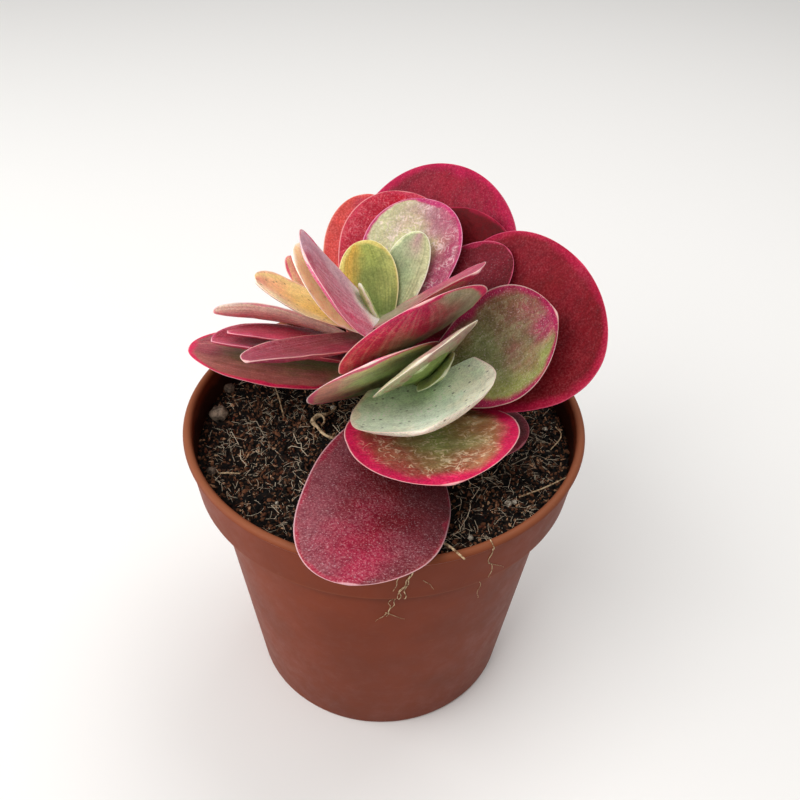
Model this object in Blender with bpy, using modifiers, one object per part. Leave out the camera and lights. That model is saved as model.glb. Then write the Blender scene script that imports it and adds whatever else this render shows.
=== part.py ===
"""A paddle plant in its round nursery pot: pot, soil, two stems and one solid for each leaf.

Units are metres, +Z is up. The origin is on the pot's axis, in the plane that the pot stands on,
and the plant's open side faces -Y.
"""
import math
from collections import namedtuple

import bmesh
import bpy
from mathutils import Vector, noise

MM = 0.001
GAP = 0.3 * MM            # air left between two pieces that touch
MERGE = 0.01 * MM

# Pot: a moulded 12 cm pot with a flared collar band, a step under it and a tapering body.
POT_HEIGHT = 100 * MM
RIM_RADIUS = 60 * MM
COLLAR_HEIGHT = 17.3 * MM
COLLAR_FOOT_RADIUS = 57.5 * MM
BODY_TOP_RADIUS = 52.9 * MM
BASE_RADIUS = 42.9 * MM
WALL = 1.5 * MM
LIP_BEAD = 2.6 * MM       # height and thickness of the rounded lip
FLOOR = 2 * MM
FOOT_RING_INNER = 37 * MM
CENTRE_PAD_RADIUS = 14 * MM
CHANNEL_RISE = 2 * MM     # the drain channel under the floor stands this far off the ground
DRAIN_HOLES = 8
DRAIN_HOLE_RADIUS = 4 * MM
DRAIN_CIRCLE_RADIUS = 27 * MM
POT_SIDES = 48
DRAIN_HOLE_SIDES = 14
CHAMFER = 0.6 * MM
LIP_STEPS = 6
SHARP_EDGE = 35           # degrees between faces, past which an edge is shown sharp

# Soil: filled to 10 mm under the rim, lumpy and a little heaped round the stem.
SOIL_DEPTH_UNDER_RIM = 10 * MM
SOIL_LUMP = 1.3 * MM
SOIL_LUMP_SIZE = 13 * MM
SOIL_HEAP = 1 * MM
SOIL_HEAP_RADIUS = 12 * MM
SOIL_RINGS = 7
SOIL_SIDES = 40
STEM_HOLE_SIDES = 16
STEM_HOLE_ABOVE = 14      # millimetres that a stem hole's cutter stands over the start of the route

# Stems: two short shoots, one for each head. Each route is in millimetres, and starts in the soil.
HEAD_ROUTES = {
    "back": ((-1, 17, 88), (-3, 17, 108), (-3, 14, 124)),
    "front": ((5, 4, 88), (9, 2, 104), (14, -3, 120)),
}
BURIED = 24               # millimetres of stem under the start of its route
STEM_RADIUS = 4.6 * MM
STEM_TIP_RADIUS = 3.4 * MM

# Leaves: fleshy paddles, blunt and broad, 2.4 mm thick.
LEAF_THICKNESS = 2.4 * MM
LEAF_ROOT_SWELL = 1.15    # the thickness at the foot, as a share of the above
LEAF_TAPER = 0.4          # how much of that share is gone at the tip
LEAF_SIDES = 12
LEAF_RINGS = 13

LEAF_COLOURS = {
    "burgundy": (0.22, 0.02, 0.04),
    "crimson": (0.45, 0.02, 0.06),
    "magenta": (0.5, 0.06, 0.14),
    "green": (0.25, 0.3, 0.12),
    "pale": (0.5, 0.6, 0.4),
    "yellow": (0.7, 0.6, 0.2),
}

# at: millimetres up the head's route. heading, rise, roll: degrees, as a leaf on a stem is described:
# where it points on the compass, how far it lifts, how far it leans on its own axis. A rise over 90
# tips the blade back over its head. curl: degrees that the blade bends up along its length.
# cup: how far the margins rise, as a share of the half width. widest: where it is widest along it.
# base: the width at the stem as a share of the widest. tip: 2 is round, and more is blunter.
Leaf = namedtuple(
    "Leaf", "name head at heading rise roll length width colour curl cup twist widest base tip",
    defaults=(0, 0.1, 0, 0.6, 0.35, 2))

LEAVES = (
    # The back head's rear side.
    Leaf("rear_leaf_1", "back", 9, 62, 31, -4, 76, 60, "crimson", 31, 0.05),
    Leaf("rear_leaf_2", "back", 13, 42, 32, 3, 61, 50, "burgundy", 24, 0.05, 6),
    Leaf("rear_leaf_3", "back", 17, 94, 27, -16, 58, 30, "crimson", 25, 0.15, 0, 0.65, 0.25),
    Leaf("rear_leaf_4", "back", 21.5, 79, 36, 4, 54, 36, "crimson", 10, 0.15, 0, 0.65, 0.3),
    Leaf("rear_leaf_5", "back", 27, 63, 41, 2, 48, 33, "magenta", 0, 0.15, -6, 0.65, 0.2),
    Leaf("rear_leaf_6", "back", 30, 58, 41, 4, 34, 15, "pale", 9),
    Leaf("rear_leaf_7", "back", 34, 104, 39, -11, 27, 18, "yellow", 0, 0.15, -5, 0.55, 0.55),
    # Its left side.
    Leaf("left_leaf_1", "back", 14.5, 183, 7, 9, 59, 47, "burgundy", 4, 0.05, 9, 0.6, 0.25),
    Leaf("left_leaf_2", "back", 16.5, 185, 19, 17, 52, 32, "crimson", -11, 0.2, 4),
    Leaf("left_leaf_3", "back", 19.5, 185, 25, 19, 47, 23, "burgundy", -19, 0.1, 6, 0.6, 0.25),
    Leaf("left_leaf_4", "back", 29, 234, 19, 2, 59, 18, "magenta", 6, 0.2, 12),
    Leaf("left_leaf_5", "back", 21.5, 170, 29, 37, 52, 23, "magenta", -32, 0.1, 16, 0.6, 0.25),
    Leaf("left_leaf_6", "back", 26.5, 157, 9, 37, 40, 19, "crimson", 44, 0.05, -14, 0.7, 0.15),
    Leaf("left_leaf_7", "back", 32, 201, 24, 9, 43, 24, "yellow", 19, 0.15, -10),
    Leaf("left_leaf_8", "back", 34, 206, 38, -20, 41, 25, "yellow", 24, 0.1, -2),
    Leaf("left_leaf_9", "back", 36, 225, 40, -27, 46, 33, "magenta", 21, 0.1, -2, 0.65, 0.45),
    Leaf("left_leaf_10", "back", 36, 175, 62, 22, 13, 8, "yellow", 8),
    # Its right side, over the front head.
    Leaf("right_leaf_1", "back", 8.5, -94, 44, 31, 69, 40, "green", -4, 0, -4),
    Leaf("right_leaf_2", "back", 24.5, -65, 25, 15, 59, 46, "magenta", 43, 0.05, -4, 0.7, 0.15),
    Leaf("right_leaf_3", "back", 35, -31, 31, -1, 42, 33, "magenta", 21, 0.15, -7),
    Leaf("right_leaf_4", "back", 24.5, 21, 25, 24, 50, 26, "burgundy", 21, 0.1, -5),
    # The front head.
    Leaf("front_leaf_1", "front", 7, -100, 11, -32, 80, 40, "burgundy", -2, 0, 37, 0.55, 0.4, 3),
    Leaf("front_leaf_2", "front", 10, -34, 3, -4, 39, 33, "burgundy", 12, 0.05),
    Leaf("front_leaf_3", "front", 18.5, 20, 25, 13, 62, 61, "crimson", 28, 0.05, 5, 0.65, 0.15),
    Leaf("front_leaf_4", "front", 14.5, -81, 21, -4, 58, 48, "green", -5, 0.1, 11, 0.5, 0.4),
    Leaf("front_leaf_5", "front", 22, 5, 20, 22, 48, 36, "green", 43, 0.25, 5, 0.6, 0.3),
    Leaf("front_leaf_6", "front", 25, -86, 7, 19, 52, 42, "pale", 37, 0.27, -1, 0.4, 0.74, 1.8),
    Leaf("front_leaf_7", "front", 28.5, -80, 42, 38, 20, 15, "green", -8, 0.1, 8),
    Leaf("front_leaf_8", "front", 31.5, -98, 34, 48, 24, 19, "green", 11, 0.15, -9),
    Leaf("front_leaf_9", "front", 34, 75, 138, 48, 42, 34, "pale", 12, 0, -2, 0.6, 0.4),
)

# Where two blades are pressed together at their feet, the first is hollowed to fit the others.
PRESSED = {
    "rear_leaf_2": ("right_leaf_1", "left_leaf_1"),
    "rear_leaf_1": ("right_leaf_1",),
    "rear_leaf_3": ("left_leaf_2",),
    "rear_leaf_4": ("left_leaf_5", "left_leaf_6"),
    "rear_leaf_6": ("right_leaf_3",),
    "rear_leaf_7": ("left_leaf_9",),
    "left_leaf_5": ("right_leaf_2",),
    "left_leaf_7": ("left_leaf_8", "rear_leaf_6", "rear_leaf_7", "right_leaf_3"),
    "left_leaf_8": ("left_leaf_9", "rear_leaf_7", "right_leaf_3"),
    "left_leaf_9": ("left_leaf_10", "right_leaf_3"),
    "left_leaf_10": ("right_leaf_3",),
    "right_leaf_3": ("rear_leaf_7",),
    "right_leaf_4": ("right_leaf_2",),
    "front_leaf_3": ("front_leaf_4",),
    "front_leaf_7": ("front_leaf_8", "front_leaf_9"),
    "front_leaf_9": ("front_leaf_8",),
}


def fresh_collection(name):
    """A new collection under the scene's own."""
    collection = bpy.data.collections.new(name)
    bpy.context.scene.collection.children.link(collection)
    return collection


def material(name, rgb, roughness):
    """A plain Principled material."""
    made = bpy.data.materials.new(name)
    made.use_nodes = True
    shader = made.node_tree.nodes["Principled BSDF"]
    shader.inputs["Base Color"].default_value = (*rgb, 1)
    shader.inputs["Roughness"].default_value = roughness
    shader.inputs["Metallic"].default_value = 0
    made.diffuse_color = (*rgb, 1)
    return made


def add_object(name, mesh, collection, finish=None):
    """An object for the mesh, in the collection and with its material."""
    made = bpy.data.objects.new(name, mesh)
    collection.objects.link(made)
    if finish:
        mesh.materials.append(finish)
    return made


def turned(name, profile, sides, collection, finish=None):
    """The (radius, height) profile turned about Z. At +X it runs down the outer side."""
    mesh = bpy.data.meshes.new(name)
    points = [(radius, 0, height) for radius, height in profile]
    mesh.from_pydata(points, [(i, i + 1) for i in range(len(points) - 1)], [])
    made = add_object(name, mesh, collection, finish)
    screw = made.modifiers.new("turn", "SCREW")
    screw.steps = sides
    screw.render_steps = sides
    screw.use_merge_vertices = True
    screw.merge_threshold = MERGE
    return made


def applied(source):
    """The object's modifiers baked into a plain mesh, with its material kept."""
    depsgraph = bpy.context.evaluated_depsgraph_get()
    mesh = bpy.data.meshes.new_from_object(source.evaluated_get(depsgraph))
    source.modifiers.clear()
    source.data = mesh
    return source


def difference(target, cutter, name):
    """Cuts the cutter's shape out of the target."""
    cut = target.modifiers.new(name, "BOOLEAN")
    cut.operation = "DIFFERENCE"
    cut.solver = "EXACT"
    cut.object = cutter


def as_cutter(guide):
    """Shows a cutter as wire, and keeps it out of the part."""
    guide.hide_render = True
    guide.display_type = "WIRE"
    return guide


# ---------------------------------------------------------------- pot

def inner_profile(clear):
    """The pot's inside from the brim down to the axis, moved inwards by clear."""
    collar_foot = POT_HEIGHT - COLLAR_HEIGHT
    ledge = collar_foot + WALL
    return [
        (RIM_RADIUS - LIP_BEAD - clear, POT_HEIGHT - LIP_BEAD),
        (COLLAR_FOOT_RADIUS - WALL - clear, ledge + clear),
        (BODY_TOP_RADIUS - WALL - clear, ledge + clear),
        (BASE_RADIUS - WALL - clear, CHANNEL_RISE + FLOOR + WALL + clear),
        (BASE_RADIUS - 2 * WALL - clear, CHANNEL_RISE + FLOOR + clear),
        (0, CHANNEL_RISE + FLOOR + clear),
    ]


def lip_profile():
    """The rounded bead, from its inside over the top to its outside."""
    middle = RIM_RADIUS - LIP_BEAD / 2
    height = POT_HEIGHT - LIP_BEAD / 2
    turns = [math.pi * (1 - i / LIP_STEPS) for i in range(LIP_STEPS + 1)]
    return [(middle + LIP_BEAD / 2 * math.cos(a), height + LIP_BEAD / 2 * math.sin(a)) for a in turns]


def outer_profile():
    """The pot's outside from under the bead down to the foot ring and in to the axis."""
    collar_foot = POT_HEIGHT - COLLAR_HEIGHT
    return [
        (RIM_RADIUS - LIP_BEAD / 3, POT_HEIGHT - LIP_BEAD),
        (COLLAR_FOOT_RADIUS, collar_foot + CHAMFER),
        (COLLAR_FOOT_RADIUS - CHAMFER, collar_foot),
        (BODY_TOP_RADIUS + CHAMFER, collar_foot - CHAMFER),
        (BODY_TOP_RADIUS, collar_foot - 2 * CHAMFER),
        (BASE_RADIUS, 2 * CHAMFER),
        (BASE_RADIUS - CHAMFER, 0),
        (FOOT_RING_INNER, 0),
        (FOOT_RING_INNER - CHAMFER, CHANNEL_RISE),
        (CENTRE_PAD_RADIUS + CHAMFER, CHANNEL_RISE),
        (CENTRE_PAD_RADIUS, 0),
        (0, 0),
    ]


def make_pot(parts, cutters, finish):
    """The pot as one turned shell, with a ring of drain holes through the raised channel."""
    inside = list(reversed(inner_profile(0)))
    profile = inside + lip_profile() + outer_profile()
    pot = turned("pot", profile, POT_SIDES, parts, finish)
    for i in range(DRAIN_HOLES):
        angle = 2 * math.pi * i / DRAIN_HOLES
        bpy.ops.mesh.primitive_cylinder_add(
            vertices=DRAIN_HOLE_SIDES, radius=DRAIN_HOLE_RADIUS, depth=6 * FLOOR,
            location=(DRAIN_CIRCLE_RADIUS * math.cos(angle), DRAIN_CIRCLE_RADIUS * math.sin(angle), 0))
        hole = move_to(bpy.context.object, cutters, f"drain_hole_{i + 1}")
        difference(pot, as_cutter(hole), hole.name)
    smooth(pot)
    return pot


def move_to(thing, collection, name):
    """Renames an operator's object and puts it in the collection."""
    for holder in list(thing.users_collection):
        holder.objects.unlink(thing)
    collection.objects.link(thing)
    thing.name = name
    return thing


def smooth(thing):
    """Smooth shading with its sharp edges kept."""
    thing.data.shade_smooth()
    thing.data.set_sharp_from_angle(angle=math.radians(SHARP_EDGE))


# ---------------------------------------------------------------- soil

def soil_height(x, y):
    """The soil's top at a place: level, lumpy, and a little heaped at each stem."""
    height = POT_HEIGHT - SOIL_DEPTH_UNDER_RIM
    height += SOIL_LUMP * noise.noise(Vector((x, y, 0)) / SOIL_LUMP_SIZE)
    for route in HEAD_ROUTES.values():
        away = math.hypot(x - route[0][0] * MM, y - route[0][1] * MM)
        height += SOIL_HEAP * math.exp(-(away / SOIL_HEAP_RADIUS) ** 2)
    return height


def make_soil(stem_cutters, parts, cutters, finish):
    """The filling, clear of the pot by the gap, with a plain hole for each stem."""
    brim, wall_foot, *below = inner_profile(GAP)
    level = POT_HEIGHT - SOIL_DEPTH_UNDER_RIM
    share = (level - wall_foot[1]) / (brim[1] - wall_foot[1])
    edge_radius = wall_foot[0] + (brim[0] - wall_foot[0]) * share
    top = [(edge_radius * i / SOIL_RINGS, level) for i in range(SOIL_RINGS + 1)]
    soil = turned("soil", top + [wall_foot] + below, SOIL_SIDES, parts, finish)
    applied(soil)
    for vertex in soil.data.vertices:
        x, y, z = vertex.co
        if math.hypot(x, y) < edge_radius - GAP and abs(z - level) < GAP:
            vertex.co.z = soil_height(x, y)
    for head, route in HEAD_ROUTES.items():
        x, y, z = (value * MM for value in route[0])
        deep = (BURIED + STEM_HOLE_ABOVE) * MM
        bpy.ops.mesh.primitive_cylinder_add(
            vertices=STEM_HOLE_SIDES, radius=STEM_RADIUS + 2 * GAP, depth=deep,
            location=(x, y, z - BURIED * MM - GAP + deep / 2))
        hole = move_to(bpy.context.object, cutters, f"{head}_stem_hole")
        difference(soil, as_cutter(hole), hole.name)
    for cutter in stem_cutters:
        difference(soil, cutter, cutter.name)
    return soil


# ---------------------------------------------------------------- stems

def make_stem(name, head, grow, collection):
    """A head's stem as a closed tube, thinner towards its tip and made thicker by grow."""
    route = [Vector(place) for place in HEAD_ROUTES[head]]
    route.insert(0, route[0] - Vector((0, 0, BURIED)))
    route[-1] += (route[-1] - route[-2]).normalized() * (grow / MM)
    curve = bpy.data.curves.new(name, "CURVE")
    curve.dimensions = "3D"
    curve.bevel_depth = 1
    curve.bevel_resolution = 3
    curve.use_fill_caps = True
    spline = curve.splines.new("POLY")
    spline.points.add(len(route) - 1)
    radii = (STEM_RADIUS, STEM_RADIUS, STEM_RADIUS, STEM_TIP_RADIUS)
    for point, place, radius in zip(spline.points, route, radii):
        point.co = (*(place * MM), 1)
        point.radius = radius + grow
    guide = add_object(name, curve, collection)
    depsgraph = bpy.context.evaluated_depsgraph_get()
    mesh = bpy.data.meshes.new_from_object(guide.evaluated_get(depsgraph))
    bpy.data.objects.remove(guide)
    body = bmesh.new()
    body.from_mesh(mesh)
    bmesh.ops.remove_doubles(body, verts=body.verts, dist=MERGE)
    bmesh.ops.recalc_face_normals(body, faces=body.faces)
    body.to_mesh(mesh)
    body.free()
    return add_object(name, mesh, collection)


# ---------------------------------------------------------------- leaves

def on_stem(head, rise):
    """The point on a head's stem that lies rise millimetres along its route."""
    route = [Vector(place) for place in HEAD_ROUTES[head]]
    for foot, top in zip(route, route[1:]):
        length = (top - foot).length
        if rise <= length:
            return foot.lerp(top, rise / length) * MM
        rise -= length
    return route[-1] * MM


def blade_width(u, leaf):
    """Half the blade's width at u along it, as a share of its widest: a broad paddle."""
    if u < leaf.widest:
        return leaf.base + (1 - leaf.base) * math.sin(math.pi / 2 * u / leaf.widest)
    return math.sqrt(max(0, 1 - ((u - leaf.widest) / (1 - leaf.widest)) ** leaf.tip))


def blade_point(leaf, u, v, lift, grow):
    """Where a blade's point lies: u along it, v across it from -1 to 1, lift in half thicknesses."""
    length = leaf.length * MM
    turn = math.radians(leaf.curl) * u
    if abs(leaf.curl) < 1:
        middle = Vector((length * u, 0, 0))
    else:
        radius = length / math.radians(leaf.curl)
        middle = Vector((radius * math.sin(turn), 0, radius * (1 - math.cos(turn))))
    up = Vector((-math.sin(turn), 0, math.cos(turn)))
    twist = math.radians(leaf.twist) * u
    across = Vector((0, 1, 0)) * math.cos(twist) + up * math.sin(twist)
    normal = up * math.cos(twist) - Vector((0, 1, 0)) * math.sin(twist)
    share = blade_width(u, leaf)
    half_width = leaf.width * MM / 2 * share
    half_thickness = LEAF_THICKNESS / 2 * (LEAF_ROOT_SWELL - LEAF_TAPER * u) * math.sqrt(share)
    cupped = leaf.cup * half_width * v * v
    return (middle + across * ((half_width + grow) * v)
            + normal * (cupped + (half_thickness + grow) * lift))


def blade_mesh(leaf, grow):
    """A ball drawn out into the blade's shape, made thicker and wider by grow."""
    ball = bmesh.new()
    bmesh.ops.create_uvsphere(ball, u_segments=LEAF_SIDES, v_segments=LEAF_RINGS, radius=1)
    for vertex in ball.verts:
        x, y, z = vertex.co
        level = math.hypot(x, y)
        across, lift = (x / level, y / level) if level > 0.01 else (0, 0)
        vertex.co = blade_point(leaf, (1 + z) / 2, across, lift, grow)
    bmesh.ops.triangulate(ball, faces=ball.faces)
    mesh = bpy.data.meshes.new(leaf.name)
    ball.to_mesh(mesh)
    ball.free()
    return mesh


def keep_largest(thing):
    """Drops the loose crumbs that a cut can leave beside the body itself."""
    body = bmesh.new()
    body.from_mesh(thing.data)
    unseen = set(body.verts)
    pieces = []
    while unseen:
        piece, edge = set(), {unseen.pop()}
        while edge:
            piece |= edge
            edge = {link.other_vert(vertex) for vertex in edge for link in vertex.link_edges} - piece
        pieces.append(piece)
        unseen -= piece
    largest = max(pieces, key=len)
    crumbs = [vertex for vertex in body.verts if vertex not in largest]
    bmesh.ops.delete(body, geom=crumbs, context="VERTS")
    body.to_mesh(thing.data)
    body.free()


def set_on_stem(thing, leaf):
    """Puts a blade's foot on its stem and turns the blade its way."""
    thing.location = on_stem(leaf.head, leaf.at)
    thing.rotation_euler = [math.radians(angle) for angle in (leaf.roll, -leaf.rise, leaf.heading)]


def make_leaf(leaf, stem_cutters, parts, cutters, finishes):
    """One paddle on its stem, cut where a stem passes and where it is pressed by its neighbours."""
    made = add_object(leaf.name, blade_mesh(leaf, 0), parts, finishes[leaf.colour])
    set_on_stem(made, leaf)
    for cutter in stem_cutters:
        difference(made, cutter, cutter.name)
    for other in LEAVES:
        if other.name in PRESSED.get(leaf.name, ()):
            press = add_object(f"{other.name}_on_{leaf.name}", blade_mesh(other, GAP), cutters)
            set_on_stem(press, other)
            difference(made, as_cutter(press), press.name)
    keep_largest(applied(made))
    smooth(made)
    return made


def main():
    for old in list(bpy.data.objects):
        bpy.data.objects.remove(old)
    parts = fresh_collection("paddle_plant")
    cutters = fresh_collection("cutters")
    cutters.hide_render = True
    make_pot(parts, cutters, material("pot_plastic", (0.25, 0.085, 0.05), 0.5))
    skin = material("stem_skin", (0.35, 0.4, 0.2), 0.6)
    stem_cutters = []
    for head in HEAD_ROUTES:
        stem = make_stem(f"{head}_stem", head, 0, parts)
        stem.data.materials.append(skin)
        smooth(stem)
        stem_cutters.append(as_cutter(make_stem(f"{head}_stem_cutter", head, GAP, cutters)))
    make_soil(stem_cutters, parts, cutters, material("peat", (0.03, 0.018, 0.012), 0.95))
    finishes = {name: material(f"leaf_{name}", rgb, 0.5) for name, rgb in LEAF_COLOURS.items()}
    for leaf in LEAVES:
        make_leaf(leaf, stem_cutters, parts, cutters, finishes)


main()
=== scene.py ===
"""The looks of a paddle plant in its nursery pot: waxy leaves, peat with its litter, and the moulded pot."""
import math
from collections import namedtuple
from functools import partial

import bpy
from mathutils import Euler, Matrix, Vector, noise


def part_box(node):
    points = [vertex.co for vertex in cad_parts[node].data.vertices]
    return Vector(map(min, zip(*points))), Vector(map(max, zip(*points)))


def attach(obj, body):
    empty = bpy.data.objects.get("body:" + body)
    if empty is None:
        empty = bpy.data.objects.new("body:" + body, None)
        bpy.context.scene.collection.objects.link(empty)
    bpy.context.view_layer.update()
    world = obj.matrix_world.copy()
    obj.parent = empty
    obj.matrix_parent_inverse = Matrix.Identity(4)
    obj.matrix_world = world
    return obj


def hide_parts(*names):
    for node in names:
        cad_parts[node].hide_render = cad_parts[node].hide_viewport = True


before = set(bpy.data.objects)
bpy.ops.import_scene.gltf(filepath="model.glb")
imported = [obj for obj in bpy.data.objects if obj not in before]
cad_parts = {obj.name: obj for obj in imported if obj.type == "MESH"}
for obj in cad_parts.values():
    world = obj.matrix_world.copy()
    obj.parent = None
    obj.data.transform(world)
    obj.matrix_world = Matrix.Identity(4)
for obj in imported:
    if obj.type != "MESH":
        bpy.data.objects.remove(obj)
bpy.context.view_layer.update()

bl_info = {
    "name": "Paddle plant in a nursery pot",
    "version": (1, 0, 0),
    "blender": (4, 5, 0),
    "location": "View3D > Sidebar > Paddle plant",
    "description": "Grows a potted paddle plant round its packed solids",
    "category": "Add Mesh",
}

MM = 0.001
MERGE = 0.01 * MM
BODY = "root"
TUBE_STEPS = 6            # rings from one point of a tube's route to the next

# The node kinds that are used most. A pair is a kind and the settings that it is always given.
MATHS = "ShaderNodeMath"
PLUS = (MATHS, {"operation": "ADD"})
MINUS = (MATHS, {"operation": "SUBTRACT"})
TIMES = (MATHS, {"operation": "MULTIPLY"})
TIMES_PLUS = (MATHS, {"operation": "MULTIPLY_ADD"})
VECTOR = "ShaderNodeVectorMath"
VECTOR_MINUS = (VECTOR, {"operation": "SUBTRACT"})
SCALED = (VECTOR, {"operation": "SCALE"})
# A range takes a value, the two ends that it comes from, and the two ends that it goes to.
RANGE = "ShaderNodeMapRange"
SOFT_RANGE = (RANGE, {"interpolation_type": "SMOOTHSTEP"})
# A mix of colours takes its share at socket 0, and the two colours at 6 and 7.
MIX = ("ShaderNodeMix", {"data_type": "RGBA"})
NOISE = "ShaderNodeTexNoise"
CELLS = "ShaderNodeTexVoronoi"
BUMP = "ShaderNodeBump"
SPLIT = "ShaderNodeSeparateXYZ"
JOIN = "ShaderNodeCombineXYZ"
RANDOM = "FunctionNodeRandomValue"
PLACE = "GeometryNodeInputPosition"
SET_PLACE = "GeometryNodeSetPosition"
STORE = "GeometryNodeStoreNamedAttribute"
REAL = "GeometryNodeRealizeInstances"

# ---------------------------------------------------------------- the plant's own sizes

RIM_RADIUS = 60 * MM
COLLAR_HEIGHT = 17.3 * MM
COLLAR_FOOT_RADIUS = 57.5 * MM
BODY_TOP_RADIUS = 52.9 * MM
BASE_RADIUS = 42.9 * MM
WALL = 1.5 * MM
LIP_BEAD = 2.6 * MM
FLOOR = 2 * MM
FOOT_RING_INNER = 37 * MM
CENTRE_PAD_RADIUS = 14 * MM
CHANNEL_RISE = 2 * MM
DRAIN_HOLES = 8
DRAIN_HOLE_RADIUS = 4 * MM
DRAIN_CIRCLE_RADIUS = 27 * MM
POT_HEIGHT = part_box("pot")[1].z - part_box("pot")[0].z
COLLAR_FOOT = POT_HEIGHT - COLLAR_HEIGHT
CHAMFER = 0.6 * MM
LIP_STEPS = 16            # faces over the lip's round
DRAIN_HOLE_SIDES = 32
POT_SHARP_EDGE = 25       # degrees between faces, past which an edge of the pot is shown sharp
SOIL_DEPTH_UNDER_RIM = 10 * MM
SOIL_LEVEL = POT_HEIGHT - SOIL_DEPTH_UNDER_RIM
SOIL_RINGS = 90
SOIL_SIDES = 260
SOIL_DIP = 3 * MM         # what lies less than this under the soil's level counts as its top
SOIL_SETTLE = 2 * MM      # width of the ring by the wall in which the lumps die away
CRUMB_CHIP = 0.9 * MM     # the grain and the reach of what chips a crumb
THREAD_SWAY = 6 * MM      # from one bend of a thread to the next
GAP = 0.3 * MM            # air left between two pieces that touch

# Each head's stem, in millimetres from the soil up, as the solids have it.
HEAD_ROUTES = {
    "back": ((-1, 17, 88), (-3, 17, 108), (-3, 14, 124)),
    "front": ((5, 4, 88), (9, 2, 104), (14, -3, 120)),
}
BURIED = 24               # millimetres of stem under the start of its route
STEM_RADIUS = 4.6 * MM
STEM_TIP_RADIUS = 3.4 * MM

# A leaf's skin. foot, core and tip colour it along its length; near and far are its two sides;
# margin is a flush of margin_mm round it, and edge the thin line on its outline. streak is the
# colour of lengthwise stripes. The rest are amounts from 0 to 1: stripes, waxy bloom, pores, pale
# flecks, crinkled crests, light scattered inside the flesh, and a painted glow, an emission that
# stands for light shining through from behind.
Skin = namedtuple(
    "Skin", "foot core tip near far margin edge streak margin_mm streaks bloom pores flecks crinkle"
    " glow lit", defaults=(0.1, 0.15, 0))

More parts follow.
